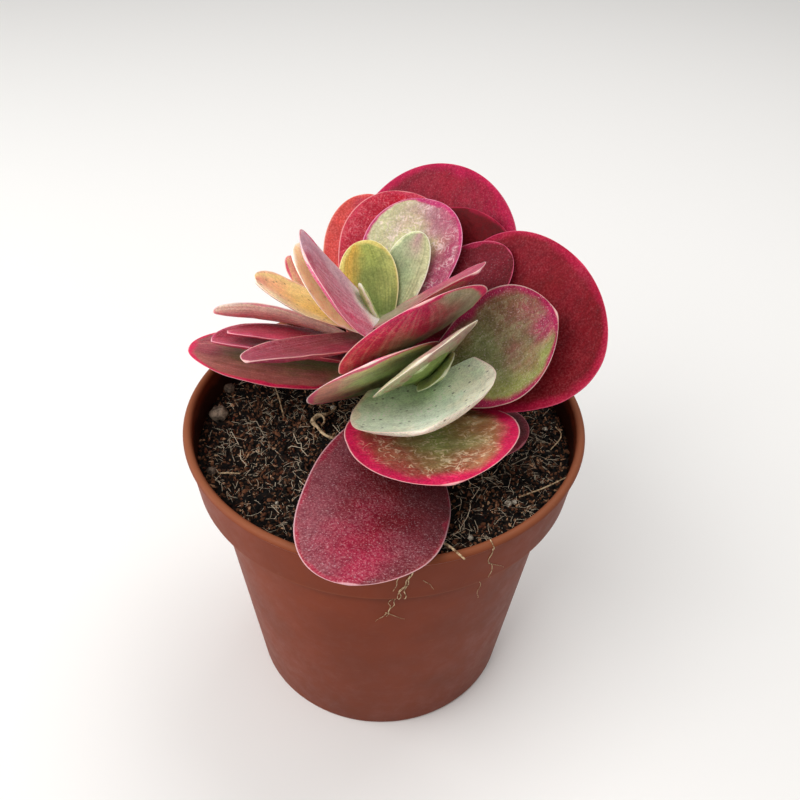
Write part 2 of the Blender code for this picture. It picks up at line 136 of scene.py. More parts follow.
SKINS = {
    "dusted_burgundy": Skin("642830", "781420", "A02040", "8A404C", "742A34", "9C2A42", "E6B4BA",
        "5E1C2A", 1.4, 0.12, 0.16, 0.0, 0.4, 0.12),
    "deep_red": Skin("3A0A10", "521018", "661622", "4E101A", "5C121E", "741A2C", "C87480",
        "3A0A12", 2, 0.15, 0.1, 0.0, 0.1),
    "crimson": Skin("480A10", "701014", "860E20", "780E1A", "7A0E1E", "A20E36", "D83A62",
        "540A14", 4, 0.25, 0.05, 0.0, 0.05),
    "crinkled_olive": Skin("9AB070", "96A062", "8A4430", "A03836", "A86A46", "CC1650", "F8C0BC",
        "ECDCBC", 6.5, 0.1, 0.06, 0.3, 0.1, 0.8, 0.2),
    "olive_rose": Skin("6E7C3E", "84885A", "B43A62", "9CA25C", "8A644A", "B22A5A", "F0C8BC",
        "B4B88C", 4, 0.25, 0.05, 0.2, 0.5, 0.4),
    "mint_cream": Skin("DCF2CC", "EEFCE8", "FCF8DE", "EEFCE6", "FCF8E0", "FCF6DE", "FADCCE",
        "C2E0C4", 2.2, 0.25, 0.02, 0.8, 0.0, 0.1, 0.1),
    "young_green": Skin("9EB66C", "B6CA80", "C8D494", "BCCA88", "BCCA88", "E4EABC", "FAFAE4",
        "8A9C5E", 1.2, 0.2, 0.03, 0.1, 0.0, 0.1, 0.2),
    "nested_green": Skin("6E8448", "7E9454", "9AAA68", "869A5A", "869A5A", "D0DCA8", "F8F8DC",
        "5E7040", 1.2, 0.2, 0.03, 0.1, 0.0, 0.1, 0.2),
    "striped_cream": Skin("90A06C", "ACB688", "B49E8C", "A88E82", "B0BC90", "CCC2A4", "F4E6D6",
        "B04A66", 1, 0.7, 0.04, 0.1, 0.0, 0.1, 0.2),
    "green_rose_edge": Skin("9EBC72", "D0E29A", "D8DC9E", "E0A898", "D4E2A4", "F07094", "FEEEE0",
        "E8F0C0", 2.4, 0.3, 0.03, 0.25, 0.0, 0.15, 0.3),
    "half_crimson": Skin("A8B698", "B8A494", "DA2A64", "D23062", "A8A080", "DC326A", "FCCCC6",
        "ECDCC8", 2.4, 0.2, 0.05, 0.0, 0.2, 0.2, 0.2),
    "rose_bloom": Skin("A29A7E", "A47A6C", "BA385C", "AC746C", "B24060", "C44064", "F4D0C8",
        "DAA8A4", 1.5, 0.3, 0.06, 0.0, 0.3, 0.1, 0.2),
    "dark_red": Skin("400A12", "66121C", "761828", "62101A", "6C1420", "9C183E", "D8607E",
        "4A1C24", 1.8, 0.2, 0.03, 0.0, 0.1),
    "maroon": Skin("3A0608", "560A10", "6A0E16", "540A10", "5E0C14", "8A102C", "B83450",
        "3A0608", 2, 0.15, 0.0, 0.0, 0.0),
    "crimson_maroon": Skin("4E0A10", "64121C", "92102A", "960A32", "7A1428", "AC0C42", "CC3C62",
        "8E4048", 5, 0.2, 0.04, 0.0, 0.1, 0.2),
    "cream_magenta": Skin("88985A", "BCBC88", "AE8084", "A44662", "C2C094", "B83468", "EC9CB4",
        "E6CECE", 1.8, 0.1, 0.06, 0.1, 0.35, 0.7, 0.2),
    "mint_pink_tip": Skin("90A270", "9EAC80", "B89690", "BCBC90", "A0AC84", "D0D4A6", "F6F0DA",
        "76885E", 1, 0.5, 0.04, 0.15, 0.0, 0.1, 0.2),
    "olive_gold": Skin("76884A", "808C4A", "98A050", "A4A860", "C29C46", "CABA6A", "F4E8B0",
        "5E7036", 1.3, 0.5, 0.03, 0.15, 0.0, 0.1, 0.2),
    "magenta_frost": Skin("F6F2E6", "C4607E", "B81E54", "CC9CAE", "D62A68", "D84E7C", "FCE0DA",
        "F0D4E0", 1.2, 0.3, 0.4, 0.0, 0.8, 0.3, 0.2),
    "orange_red": Skin("BE4C30", "CA4240", "BA2E42", "C03840", "D04C46", "CE4848", "EC9C8E",
        "B4302E", 1.8, 0.2, 0.1, 0.0, 0.15, 0.1, 0.2),
    "bright_red": Skin("821624", "A01C2E", "B81430", "AE1832", "B4243A", "C02E4A", "F09C9E",
        "E0848C", 1.8, 0.0, 0.1, 0.0, 0.2, 0.45, 0.2),
    "gold": Skin("F4E8B0", "FCEAAC", "FCEAB4", "FCEAB4", "FCEAB0", "FCF4D0", "FEFAE4",
        "F6D898", 1.2, 0.25, 0.02, 0.35, 0.0, 0.1, 0.25, 0.2),
    "peach_gold": Skin("C8C48C", "E4CA88", "DC9480", "E4C88E", "E4D6B8", "E4AC94", "FEF6E4",
        "D89C84", 1.6, 0.35, 0.03, 0.7, 0.0, 0.1, 0.3),
    "rose_gold": Skin("E8D49C", "EAA280", "E06074", "E6848A", "E8BC90", "E4647E", "FCE4D0",
        "D67C6C", 1.8, 0.35, 0.06, 0.0, 0.1, 0.1, 0.3),
    "salmon": Skin("EEECCC", "FAD2C4", "F0A4A8", "F4AEB0", "F6E2D0", "F2A4AE", "FEECDE",
        "C47468", 1.2, 0.6, 0.03, 0.0, 0.15, 0.1, 0.3),
    "crimson_rose": Skin("96443E", "B4324A", "C23A58", "AC2E48", "CA4066", "CE3C6C", "F8BEC2",
        "90284A", 1.6, 0.35, 0.25, 0.0, 0.35, 0.1, 0.3),
    "maroon_olive": Skin("A6B06C", "8E8A50", "983A4A", "8C3A44", "A05A50", "D01A50", "F0A8AC",
        "C07A72", 2.8, 0.7, 0.06, 0.1, 0.15, 0.15, 0.2),
    "rose_frost": Skin("98786A", "8E2438", "8C1832", "962E46", "942040", "AC3056", "F4CAC4",
        "BC708A", 1.4, 0.55, 0.2, 0.0, 0.3, 0.1),
}

# at: millimetres up the head's route. heading, rise, roll, curl and twist are in degrees, and length and
# width in millimetres. cup: how far the margins rise, as a share of the half width. widest: where the
# blade is widest along its length. base: its width at the stem, as a share of its widest. tip: 2 is
# round, and more is blunter. foot: the share of its length in which a blade with no stalk rounds off.
# It is the same design as the solids.
Leaf = namedtuple(
    "Leaf", "name skin head at heading rise roll length width colour curl cup twist widest base tip foot",
    defaults=(0, 0.1, 0, 0.6, 0.35, 2, 0))

LEAVES = (
    Leaf("rear_leaf_1", "crimson_maroon", "back", 9, 62, 31, -4, 76, 60, "crimson", 31, 0.05),
    Leaf("rear_leaf_2", "maroon", "back", 13, 42, 32, 3, 61, 50, "burgundy", 24, 0.05, 6),
    Leaf("rear_leaf_3", "orange_red", "back", 17, 94, 27, -16, 58, 30, "crimson", 25, 0.15, 0, 0.65,
         0.25),
    Leaf("rear_leaf_4", "bright_red", "back", 21.5, 79, 36, 4, 54, 36, "crimson", 10, 0.15, 0, 0.65, 0.3),
    Leaf("rear_leaf_5", "cream_magenta", "back", 27, 63, 41, 2, 48, 33, "magenta", 0, 0.15, -6, 0.65, 0.2),
    Leaf("rear_leaf_6", "mint_pink_tip", "back", 30, 58, 41, 4, 34, 15, "pale", 9),
    Leaf("rear_leaf_7", "olive_gold", "back", 34, 104, 39, -11, 27, 18, "yellow", 0, 0.15, -5, 0.55, 0.55),
    Leaf("left_leaf_1", "maroon_olive", "back", 14.5, 183, 7, 9, 59, 47, "burgundy", 4, 0.05, 9, 0.6, 0.25),
    Leaf("left_leaf_2", "crimson_rose", "back", 16.5, 185, 19, 17, 52, 32, "crimson", -11, 0.2, 4),
    Leaf("left_leaf_3", "crimson_rose", "back", 19.5, 185, 25, 19, 47, 23, "burgundy", -19, 0.1, 6, 0.6,
         0.25),
    Leaf("left_leaf_4", "rose_frost", "back", 29, 234, 19, 2, 59, 18, "magenta", 6, 0.2, 12),
    Leaf("left_leaf_5", "salmon", "back", 21.5, 170, 29, 37, 52, 23, "magenta", -32, 0.1, 16, 0.6, 0.25),
    Leaf("left_leaf_6", "rose_gold", "back", 26.5, 157, 9, 37, 40, 19, "crimson", 44, 0.05, -14, 0.7, 0.15),
    Leaf("left_leaf_7", "peach_gold", "back", 32, 201, 24, 9, 43, 24, "yellow", 19, 0.15, -10),
    Leaf("left_leaf_8", "gold", "back", 34, 206, 38, -20, 41, 25, "yellow", 24, 0.1, -2),
    Leaf("left_leaf_9", "magenta_frost", "back", 36, 225, 40, -27, 46, 33, "magenta", 21, 0.1, -2, 0.65,
         0.45),
    Leaf("left_leaf_10", "young_green", "back", 36, 175, 62, 22, 13, 8, "yellow", 8),
    Leaf("right_leaf_1", "green_rose_edge", "back", 8.5, -94, 44, 31, 69, 40, "green", -4, 0, -4),
    Leaf("right_leaf_2", "half_crimson", "back", 24.5, -65, 25, 15, 59, 46, "magenta", 43, 0.05, -4, 0.7,
         0.15),
    Leaf("right_leaf_3", "rose_bloom", "back", 35, -31, 31, -1, 42, 33, "magenta", 21, 0.15, -7),
    Leaf("right_leaf_4", "dark_red", "back", 24.5, 21, 25, 24, 50, 26, "burgundy", 21, 0.1, -5),
    Leaf("front_leaf_1", "dusted_burgundy", "front", 7, -100, 11, -32, 80, 40, "burgundy", -2, 0, 37, 0.55,
         0.4, 3),
    Leaf("front_leaf_2", "deep_red", "front", 10, -34, 3, -4, 39, 33, "burgundy", 12, 0.05),
    Leaf("front_leaf_3", "crimson", "front", 18.5, 20, 25, 13, 62, 61, "crimson", 28, 0.05, 5, 0.65, 0.15),
    Leaf("front_leaf_4", "crinkled_olive", "front", 14.5, -81, 21, -4, 58, 48, "green", -5, 0.1, 11, 0.5,
         0.4),
    Leaf("front_leaf_5", "olive_rose", "front", 22, 5, 20, 22, 48, 36, "green", 43, 0.25, 5, 0.6, 0.3),
    Leaf("front_leaf_6", "mint_cream", "front", 25, -86, 7, 19, 52, 42, "pale", 37, 0.27, -1, 0.4, 0.74, 1.8,
         0.05),
    Leaf("front_leaf_7", "young_green", "front", 28.5, -80, 42, 38, 20, 15, "green", -8, 0.1, 8),
    Leaf("front_leaf_8", "nested_green", "front", 31.5, -98, 34, 48, 24, 19, "green", 11, 0.15, -9),
    Leaf("front_leaf_9", "striped_cream", "front", 34, 75, 138, 48, 42, 34, "pale", 12, 0, -2, 0.6, 0.4),
)


# ---------------------------------------------------------------- helpers

def linear(code):
    """An sRGB hex colour as linear red, green, blue and full alpha."""
    shares = [int(code[i:i + 2], 16) / 255 for i in (0, 2, 4)]
    return (*(s / 12.92 if s <= 0.04045 else ((s + 0.055) / 1.055) ** 2.4 for s in shares), 1)


def plug(node, inputs):
    """Sets a node's inputs, by name or in order: to a value, a socket, or a node's first live output."""
    for key, value in inputs.items() if isinstance(inputs, dict) else enumerate(inputs):
        if isinstance(value, bpy.types.Node):
            value = next(socket for socket in value.outputs if socket.enabled)
        if isinstance(value, bpy.types.NodeSocket):
            node.id_data.links.new(value, node.inputs[key])
        else:
            node.inputs[key].default_value = value


def add_node(tree, kind, inputs=(), **settings):
    """Adds a node of a kind, or of a pair of kind and settings, with more settings and its inputs."""
    name, fixed = (kind, {}) if isinstance(kind, str) else kind
    node = tree.nodes.new(name)
    for setting, value in {**fixed, **settings}.items():
        setattr(node, setting, value)
    plug(node, inputs)
    return node


def new_material(name, rough, specular=0.5):
    """A Principled material, what adds a node to it, and its shader."""
    made = bpy.data.materials.new(name)
    made.use_nodes = True
    shader = made.node_tree.nodes["Principled BSDF"]
    plug(shader, {"Roughness": rough, "Specular IOR Level": specular})
    return made, partial(add_node, made.node_tree), shader


def new_tree(name, numbers, **others):
    """A Geometry Nodes tree with named inputs, each a number or of its own kind, what adds a node to it,
    and its inputs by name."""
    tree = bpy.data.node_groups.new(name, "GeometryNodeTree")
    tree.is_modifier = True
    tree.interface.new_socket("Geometry", in_out="INPUT", socket_type="NodeSocketGeometry")
    for label, kind in {**dict.fromkeys(numbers.split(), "Float"), **others}.items():
        tree.interface.new_socket(label, in_out="INPUT", socket_type=f"NodeSocket{kind}")
    tree.interface.new_socket("Geometry", in_out="OUTPUT", socket_type="NodeSocketGeometry")
    return tree, partial(add_node, tree), tree.nodes.new("NodeGroupInput").outputs


def close_tree(tree, shape, skin):
    """Ends a tree: real geometry, one material, out."""
    real = add_node(tree, REAL, (shape,))
    painted = add_node(tree, "GeometryNodeSetMaterial", {"Geometry": real, "Material": skin})
    add_node(tree, "NodeGroupOutput", (painted,))
    return tree


def add_object(name, mesh):
    """An object for the mesh in the scene's own collection."""
    made = bpy.data.objects.new(name, mesh)
    bpy.context.scene.collection.objects.link(made)
    return made


def evaluated_mesh(piece):
    """What a piece's modifiers, or its curve's own thickness, make of it, as plain mesh."""
    depsgraph = bpy.context.evaluated_depsgraph_get()
    return bpy.data.meshes.new_from_object(piece.evaluated_get(depsgraph))


def applied(piece):
    """The piece with its modifiers made into plain mesh."""
    mesh = evaluated_mesh(piece)
    piece.modifiers.clear()
    piece.data = mesh
    return piece


def grown(name, tree, values, base=None):
    """What a tree grows on the base mesh, with its named inputs set, as a plain object."""
    piece = add_object(name, base.copy() if base else bpy.data.meshes.new(name))
    modifier = piece.modifiers.new(tree.name, "NODES")
    modifier.node_group = tree
    for item in tree.interface.items_tree:
        if item.in_out == "INPUT" and item.name in values:
            modifier[item.identifier] = values[item.name]
    applied(piece)
    if not piece.data.polygons:
        raise RuntimeError(f"{name} grew nothing")
    return piece


def hand_over(piece, slot, *nodes):
    """Rides the finished piece on the part, in place of the solids it stands for. The slot is not used."""
    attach(piece, BODY)
    if nodes:
        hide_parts(*nodes)


def turned(name, profile, sides, finish):
    """The (radius, height) profile turned about Z. At +X it runs down the outer side."""
    mesh = bpy.data.meshes.new(name)
    points = [(radius, 0, height) for radius, height in profile]
    mesh.from_pydata(points, [(i, i + 1) for i in range(len(points) - 1)], [])
    mesh.materials.append(finish)
    made = add_object(name, mesh)
    screw = made.modifiers.new("turn", "SCREW")
    screw.steps = screw.render_steps = sides
    screw.use_merge_vertices = True
    screw.merge_threshold = MERGE
    return made


def smooth(piece, degrees=35):
    """Smooth shading with sharp edges over the angle."""
    piece.data.shade_smooth()
    piece.data.set_sharp_from_angle(angle=math.radians(degrees))


def tube(name, routes, finish, resolution=2):
    """One mesh of round tubes. A route is a list of (x, y, z, radius) in millimetres."""
    curve = bpy.data.curves.new(name, "CURVE")
    curve.dimensions = "3D"
    curve.bevel_depth = 1
    curve.bevel_resolution = resolution
    curve.use_fill_caps = True
    curve.materials.append(finish)
    for route in routes:
        spline = curve.splines.new("BEZIER")
        spline.resolution_u = TUBE_STEPS
        spline.bezier_points.add(len(route) - 1)
        for point, (x, y, z, radius) in zip(spline.bezier_points, route):
            point.co = Vector((x, y, z)) * MM
            point.radius = radius * MM
            point.handle_left_type = point.handle_right_type = "AUTO"
    guide = add_object(name + "_guide", curve)
    mesh = evaluated_mesh(guide)
    bpy.data.objects.remove(guide)
    made = add_object(name, mesh)
    weld = made.modifiers.new("caps", "WELD")
    weld.merge_threshold = MERGE
    applied(made)
    smooth(made)
    return made


# ---------------------------------------------------------------- finishes

def leaf_skin(name, skin, wax):
    """Living leaf skin: waxy and faintly translucent, dusted with its own powdery bloom, and on some a
    painted glow.
    """
    made, add, shader = new_material(f"waxy_leaf_{name}", 0.5, 0.09)
    blade_vector = add("ShaderNodeAttribute", attribute_name="blade").outputs["Vector"]
    blade = add(SPLIT, (blade_vector,))
    place = add("ShaderNodeTexCoord").outputs["Object"]
    # Colour drifts over patches about 12 mm and 4 mm across.
    patches = add(NOISE, {"Vector": place, "Scale": 1 / (12 * MM), "Detail": 3.0})
    drift = add(SPLIT, (add(VECTOR_MINUS, (patches.outputs["Color"], (0.5, 0.5, 0.5))),))
    mottle = add(NOISE, {"Vector": place, "Scale": 1 / (4 * MM), "Detail": 4.0, "Roughness": 0.6})
    along = add(TIMES_PLUS, (drift.outputs["X"], 0.7, blade.outputs["X"]))
    across = add(TIMES_PLUS, (drift.outputs["Y"], 1.1, blade.outputs["Y"]))
    # rim is stored in centimetres, and wanders by a few millimetres for the flush.
    rim = add(TIMES_PLUS, (drift.outputs["Z"], 0.7, blade.outputs["Z"]))
    # Stripes run along the blade: short across it and long along it, and they bend with the patches.
    straight = add(VECTOR, (blade_vector, (1.2, 16, 0), patches.outputs["Color"]), operation="MULTIPLY_ADD")
    grain = add(VECTOR, (straight, (0, 0, 7 * skin.streaks)), operation="ADD")
    stripes = add(NOISE, {"Vector": grain, "Scale": 1.0, "Detail": 2.0})
    flush = skin.margin_mm * 0.1
    # The two sides' colours fade towards the foot.
    near = add(SOFT_RANGE, (across, -0.05, -0.8))
    far = add(SOFT_RANGE, (across, 0.05, 0.8))
    grown_up = add(SOFT_RANGE, (along, 0.05, 0.4, 0.2))
    layers = (
        (skin.core, add(SOFT_RANGE, (along, 0.08, 0.42))),
        (skin.tip, add(SOFT_RANGE, (along, 0.55, 0.95))),
        (skin.near, add(TIMES, (near, grown_up))),
        (skin.far, add(TIMES, (far, grown_up))),
        (skin.streak, add(SOFT_RANGE, (stripes, 0.42, 0.75, 0, skin.streaks))),
    )
    colour = add("ShaderNodeRGB")
    colour.outputs[0].default_value = linear(skin.foot)
    for paint, mask in layers:
        colour = add(MIX, {0: mask, 6: colour, 7: linear(paint)})
    # Crinkles of a flushed blade, 3 mm apart, catch the light in thin lines along their crests.
    crinkle = add(NOISE, {"Vector": place, "Scale": 1 / (3 * MM), "Detail": 2.0, "Distortion": 0.8})
    ridge = add(MATHS, (add(MINUS, (crinkle, 0.5)),), operation="ABSOLUTE")
    crest = add(RANGE, (ridge, 0.05, 0.005, 0, 0.8 * skin.crinkle))
    crest = add(TIMES, (crest, add(RANGE, (mottle, 0.42, 0.56))))
    colour = add(MIX, {0: crest, 6: colour, 7: linear(skin.streak)})
    border = add(SOFT_RANGE, (rim, flush, flush * 0.3))
    colour = add(MIX, {0: border, 6: colour, 7: linear(skin.margin)})
    shade = add(RANGE, (mottle, 0.36, 0.64, 0.86, 1.12))
    colour = add(SCALED, {0: colour, "Scale": shade})
    # Bloom: grains of powder under half a millimetre, drawn coarse enough to show.
    powder = add(NOISE, {"Vector": place, "Scale": 1 / (0.6 * MM), "Detail": 2.0, "Roughness": 0.6})
    veil = add(TIMES_PLUS, (patches, 0.35, powder))
    speckle = add(RANGE, (powder, 0.36, 0.64, 0.84, 1.16))
    colour = add(SCALED, {0: colour, "Scale": speckle})
    dust = add(SOFT_RANGE, (veil, 0.58, 0.95, 0, skin.bloom))
    colour = add(MIX, {0: dust, 6: colour, 7: wax})
    # Wax flecks under half a millimetre wide, and sparse dark breathing pores.
    grit = add(NOISE, {"Vector": place, "Scale": 1 / (0.42 * MM), "Detail": 1.0})
    fleck = add(RANGE, (grit, 0.6, 0.78, 0, skin.flecks))
    colour = add(MIX, {0: fleck, 6: colour, 7: linear("F0D4D8")})
    if skin.pores:
        dots = add(CELLS, {"Vector": place, "Scale": 1 / (2.4 * MM)})
        pore = add(RANGE, (dots.outputs["Distance"], 0.22, 0.1, 0, skin.pores))
        sparse = add(MATHS, (add(SPLIT, (dots.outputs["Color"],)), 0.45), operation="GREATER_THAN")
        pore = add(TIMES, (pore, sparse))
        colour = add(MIX, {0: pore, 6: colour, 7: linear("40382E")})
    # The leaf's outline is a pale line about half a millimetre wide.
    line = add(SOFT_RANGE, (blade.outputs["Z"], 0.05, 0.01, 0, 0.75))
    colour = add(MIX, {0: line, 6: colour, 7: linear(skin.edge)})
    plug(shader, {"Base Color": colour, "Roughness": add(RANGE, (veil, 0.5, 0.9, 0.4, 0.62)),
                  "Subsurface Weight": skin.glow, "Subsurface Radius": (1, 0.6, 0.35),
                  "Subsurface Scale": 3 * MM})
    if skin.lit:
        # A faint emission paints a glow that stands for the light shining through a thin blade.
        plug(shader, {"Emission Color": colour, "Emission Strength": skin.lit})
    # Relief: crinkles and powder.
    relief = add(BUMP, {"Height": crinkle, "Distance": 0.8 * MM, "Strength": 0.15 + 0.7 * skin.crinkle})
    relief = add(BUMP, {"Height": powder, "Distance": 0.06 * MM, "Strength": 0.5, "Normal": relief})
    plug(shader, {"Normal": relief})
    return made


def moulded_polypropylene(body, dust):
    """Injection-moulded polypropylene: matt, with flow mottling, handling scuffs and peat dust, painted
    highlights on the lip and the collar's edge, and painted shade under the collar and on the wall inside it.
    """
    made, add, shader = new_material("moulded_polypropylene", 0.5, 0.1)
    place = add("ShaderNodeTexCoord").outputs["Object"]
    # The plastic flowed into the mould in patches about 18 mm across.
    flow = add(NOISE, {"Vector": place, "Scale": 1 / (18 * MM), "Detail": 5.0})
    tone = add(RANGE, (flow, 0.35, 0.65, 0.92, 1.09))
    colour = add(SCALED, {0: body[:3], "Scale": tone})
    # Scuffs: short scratches that lean, 1 mm wide as drawn.
    lean = add("ShaderNodeMapping", {"Vector": place, "Rotation": (0.5, 0.3, 0.2),
                                     "Scale": (1 / (14 * MM), 1 / (1 * MM), 1 / (1 * MM))})
    scratch = add(NOISE, {"Vector": lean, "Scale": 1.0, "Detail": 2.0})
    scuff = add(RANGE, (scratch, 0.68, 0.8, 0, 0.16))
    # A film of dust, in patches about 5 mm across.
    film = add(NOISE, {"Vector": place, "Scale": 1 / (5 * MM), "Detail": 6.0, "Roughness": 0.7})
    haze = add(SOFT_RANGE, (film, 0.5, 0.85, 0, 0.1))
    for mask in (scuff, haze):
        colour = add(MIX, {0: mask, 6: colour, 7: dust})
    # A painted highlight makes the top of the lip paler.
    spot = add(SPLIT, (place,))
    height = spot.outputs["Z"]
    lip_highlight = add(RANGE, (height, POT_HEIGHT - 1.5 * MM, POT_HEIGHT, 0, 0.4))
    colour = add(MIX, {0: lip_highlight, 6: colour, 7: dust})
    # A painted highlight makes the collar's lower edge paler, and painted shade darkens the wall under it.
    edge = add(RANGE, (height, COLLAR_FOOT + 1.2 * MM, COLLAR_FOOT + 0.3 * MM, 0, 0.22))
    under = add(RANGE, (height, COLLAR_FOOT - 0.2 * MM, COLLAR_FOOT - 0.4 * MM))
    collar_shade = add(SOFT_RANGE, (height, COLLAR_FOOT - 9 * MM, COLLAR_FOOT - 4 * MM, 0, 0.4))
    edge = add(TIMES, (edge, add(MINUS, (1.0, under))))
    collar_shade = add(TIMES, (collar_shade, under))
    colour = add(MIX, {0: edge, 6: colour, 7: dust})
    # The painted shade under the collar is a near-black brown.
    colour = add(MIX, {0: collar_shade, 6: colour, 7: linear("2A120A")})
    # Painted shade darkens the wall inside the collar, from under the lip down.
    away = add(VECTOR, (add(JOIN, {"X": spot.outputs["X"], "Y": spot.outputs["Y"]}),),
               operation="LENGTH").outputs["Value"]
    throat = RIM_RADIUS - LIP_BEAD
    inside = add(RANGE, (away, throat + 0.05 * MM, throat - 0.1 * MM))
    low = add(TIMES_PLUS, (film, 5 * MM, height))
    brim = POT_HEIGHT - LIP_BEAD
    inner_wall_shade = add(RANGE, (low, brim + 2.5 * MM, brim, 0, 0.85))
    collar = add(MATHS, (height, COLLAR_FOOT + MM), operation="GREATER_THAN")
    inside = add(TIMES, (inside, collar))
    inner_wall_shade = add(TIMES, (inner_wall_shade, inside))
    # The painted shade inside the collar is near black.
    colour = add(MIX, {0: inner_wall_shade, 6: colour, 7: linear("1E100A")})
    plug(shader, {"Base Color": colour, "Roughness": add(RANGE, (film, 0.3, 0.8, 0.42, 0.62))})
    # The mould's fine grain, 0.5 mm as drawn.
    grain = add(NOISE, {"Vector": place, "Scale": 1 / (0.5 * MM), "Detail": 2.0})
    plug(shader, {"Normal": add(BUMP, {"Height": grain, "Distance": 0.03 * MM, "Strength": 0.4})})
    return made


def organic(name, dark, light, size, span=(0.5, 1.0), rough=0.9):
    """Dead plant matter or grit: two colours that drift over span from piece to piece, and rough."""
    made, add, shader = new_material(name, rough, 0.25)
    place = add("ShaderNodeTexCoord").outputs["Object"]
    drift = add(NOISE, {"Vector": place, "Scale": 1 / size, "Detail": 5.0, "Roughness": 0.75})
    shade = add("ShaderNodeAttribute", attribute_name="shade")
    tone = add(TIMES_PLUS, (shade.outputs["Fac"], 0.6, drift))
    mask = add(SOFT_RANGE, (tone, *span))
    plug(shader, {"Base Color": add(MIX, {0: mask, 6: dark, 7: light}),
                  "Normal": add(BUMP, {"Height": drift, "Distance": 0.3 * size, "Strength": 0.6})})
    return made


# ---------------------------------------------------------------- pot

def inner_profile(clear):
    """The pot's inside from the brim down to the axis, moved inwards by clear."""
    ledge = COLLAR_FOOT + WALL
    return [
        (RIM_RADIUS - LIP_BEAD - clear, POT_HEIGHT - LIP_BEAD),
        (COLLAR_FOOT_RADIUS - WALL - clear, ledge + clear),
        (BODY_TOP_RADIUS - WALL - clear, ledge + clear),
        (BASE_RADIUS - WALL - clear, CHANNEL_RISE + FLOOR + WALL + clear),
        (BASE_RADIUS - 2 * WALL - clear, CHANNEL_RISE + FLOOR + clear),
        (0, CHANNEL_RISE + FLOOR + clear),
    ]


def lip_profile():
    """The rounded bead, from its inside over the top to its outside."""
    bead = LIP_BEAD / 2
    middle = RIM_RADIUS - bead
    height = POT_HEIGHT - bead
    turns = [math.pi * (1 - i / LIP_STEPS) for i in range(LIP_STEPS + 1)]
    return [(middle + bead * math.cos(a), height + bead * math.sin(a)) for a in turns]


def outer_profile():
    """The pot's outside from under the bead down to the foot ring and in to the axis."""
    return [
        (RIM_RADIUS - LIP_BEAD / 3, POT_HEIGHT - LIP_BEAD),
        (COLLAR_FOOT_RADIUS, COLLAR_FOOT + CHAMFER),
        (COLLAR_FOOT_RADIUS - CHAMFER, COLLAR_FOOT),
        (BODY_TOP_RADIUS + CHAMFER, COLLAR_FOOT - CHAMFER),
        (BODY_TOP_RADIUS, COLLAR_FOOT - 2 * CHAMFER),
        (BASE_RADIUS, 2 * CHAMFER),
        (BASE_RADIUS - CHAMFER, 0),
        (FOOT_RING_INNER, 0),
        (FOOT_RING_INNER - CHAMFER, CHANNEL_RISE),
        (CENTRE_PAD_RADIUS + CHAMFER, CHANNEL_RISE),
        (CENTRE_PAD_RADIUS, 0),
        (0, 0),
    ]


def make_pot(settings):
    """The moulded pot as one turned shell, with its ring of drain holes."""
    finish = moulded_polypropylene(settings.body_colour, settings.dust_and_highlight_colour)
    profile = list(reversed(inner_profile(0))) + lip_profile() + outer_profile()
    pot = turned("pot_shell", profile, settings.sides, finish)
    cutters = []
    for i in range(DRAIN_HOLES):
        angle = math.tau * i / DRAIN_HOLES
        bpy.ops.mesh.primitive_cylinder_add(
            vertices=DRAIN_HOLE_SIDES, radius=DRAIN_HOLE_RADIUS, depth=6 * FLOOR,
            location=(DRAIN_CIRCLE_RADIUS * math.cos(angle), DRAIN_CIRCLE_RADIUS * math.sin(angle), 0))
        cutters.append(bpy.context.object)
        cut = pot.modifiers.new(f"drain_hole_{i + 1}", "BOOLEAN")
        cut.object = cutters[-1]
    applied(pot)
    for cutter in cutters:
        bpy.data.objects.remove(cutter)
    smooth(pot, POT_SHARP_EDGE)
    hand_over(pot, "pot_plastic", "pot")


# ---------------------------------------------------------------- peat and what lies on it

def edge_of_soil():
    """The radius of the soil's top, where it meets the wall."""
    brim, ledge, *_ = inner_profile(GAP)
    share = (SOIL_LEVEL - ledge[1]) / (brim[1] - ledge[1])
    return ledge[0] + (brim[0] - ledge[0]) * share


def peat_tree():
    """Raises a level soil top into lumps and crumbs, and lets it settle where it meets the wall."""
    tree, add, given = new_tree("peat_top", "Level Edge Lump Crumb Seed", Material="Material")
    place = add(PLACE)
    spot = add(SPLIT, (place,))
    flat = add(VECTOR, (place, (1, 1, 0)), operation="MULTIPLY")
    away = add(VECTOR, (flat,), operation="LENGTH")
    # Lumps about 11 mm apart, and crumbs about 2.4 mm.
    lumps = add(NOISE, {"Vector": place, "W": given["Seed"], "Scale": 1 / (11 * MM), "Detail": 2.0},
                noise_dimensions="4D")
    crumbs = add(NOISE, {"Vector": place, "W": given["Seed"], "Scale": 1 / (2.4 * MM), "Detail": 3.0,
                         "Roughness": 0.7}, noise_dimensions="4D")
    rise = add(TIMES, (add(MINUS, (lumps, 0.5)), given["Lump"]))
    grit = add(TIMES, (add(MINUS, (crumbs, 0.5)), given["Crumb"]))
    settle = add(RANGE, (away, given["Edge"], add(MINUS, (given["Edge"], SOIL_SETTLE))))
    height = add(TIMES, (add(PLUS, (rise, grit)), settle))
    on_top = add(MATHS, (spot.outputs["Z"], add(MINUS, (given["Level"], MM))), operation="GREATER_THAN")
    raised = add(SET_PLACE, {"Geometry": given["Geometry"], "Selection": on_top,
                             "Offset": add(JOIN, {"Z": height})})
    return close_tree(tree, raised, given["Material"])


